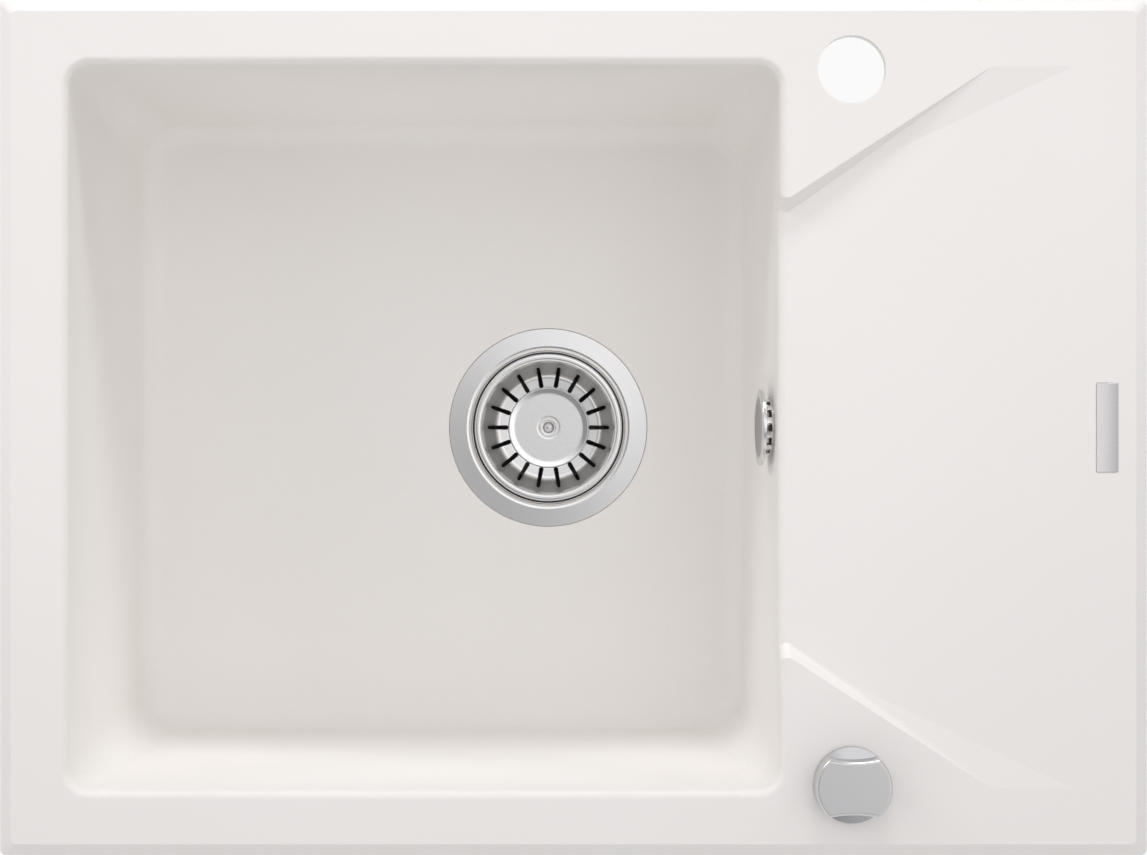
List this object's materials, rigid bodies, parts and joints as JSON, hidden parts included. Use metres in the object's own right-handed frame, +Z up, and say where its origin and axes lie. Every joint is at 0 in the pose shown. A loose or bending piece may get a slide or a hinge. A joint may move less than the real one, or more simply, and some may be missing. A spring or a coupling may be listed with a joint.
{
  "type": "granite composite sink",
  "caption": "Drop-in granite composite sink with a deep bowl, a faceted drainer, a lift-out strainer basket worked by a deck knob through a rocker under the drain, and a wall overflow.",
  "frame": {"origin": "centre of the rim's underside, in the plane of the worktop that the rim rests on", "axes": "+X along the sink's length from the bowl to the drainer, +Y to the back where the tap hole is, +Z up"},
  "size_m": [0.59, 0.44, 0.3403],
  "materials": {
    "granite_composite": "matte, fine grain",
    "satin_steel": "satin",
    "chrome": "polished",
    "white_plastic": "matte",
    "grey_plastic": "matte",
    "black_plastic": "matte",
    "seal_rubber": "matte"
  },
  "bodies": {
    "sink": {"basin": "granite_composite", "trim_plate": "satin_steel", "flange_seal": "seal_rubber", "strainer_flange": "satin_steel", "clamp_screw": "satin_steel", "body_gasket": "seal_rubber", "waste_body": "white_plastic", "outlet_tail": "white_plastic", "pulley_housing": "grey_plastic", "pulley_cover": "grey_plastic", "pulley_cover_screws": "satin_steel", "pulley_gland": "black_plastic", "knob_gasket": "seal_rubber", "knob_bush": "grey_plastic", "knob_washer": "satin_steel", "knob_nut": "grey_plastic", "drum_housing": "grey_plastic", "drum_cover": "grey_plastic", "drum_cover_screws": "satin_steel", "drum_gland": "black_plastic", "overflow_cap": "chrome", "overflow_collar": "chrome", "overflow_gasket": "seal_rubber", "overflow_elbow": "white_plastic", "overflow_pipe": "white_plastic", "overflow_nuts": "grey_plastic"},
    "knob": {"control_knob": "chrome", "knob_shaft": "satin_steel", "knob_drum": "black_plastic"},
    "rocker": {"lift_rocker": "black_plastic", "rocker_pulley": "black_plastic"},
    "lift": {"lift_pin": "black_plastic"},
    "basket": {"strainer_basket": "satin_steel", "basket_seal": "seal_rubber", "basket_socket": "black_plastic", "basket_screw": "satin_steel"}
  },
  "joints": [
    {"name": "knob_turn", "type": "hinge", "parent": "sink", "child": "knob", "pos_m": [0.1425, -0.183, 0.01], "axis": [0, 0, -1], "range_deg": [0, 90]},
    {"name": "rocker_turn", "type": "hinge", "parent": "sink", "child": "rocker", "pos_m": [0.0004, 0, -0.258], "axis": [0, 1, 0], "range_deg": [0, 35]},
    {"name": "pin_lift", "type": "slide", "parent": "sink", "child": "lift", "axis": [0, 0, 1], "range_m": [0, 0.00903]},
    {"name": "basket_lift", "type": "slide", "parent": "lift", "child": "basket", "axis": [0, 0, 1], "range_m": [0, 0.24]}
  ],
  "couplings": [
    {"joint": "rocker_turn", "follows": "knob_turn", "ratio": 0.38888},
    {"joint": "pin_lift", "follows": "knob_turn", "m_per_rad": 0.005743}
  ]
}
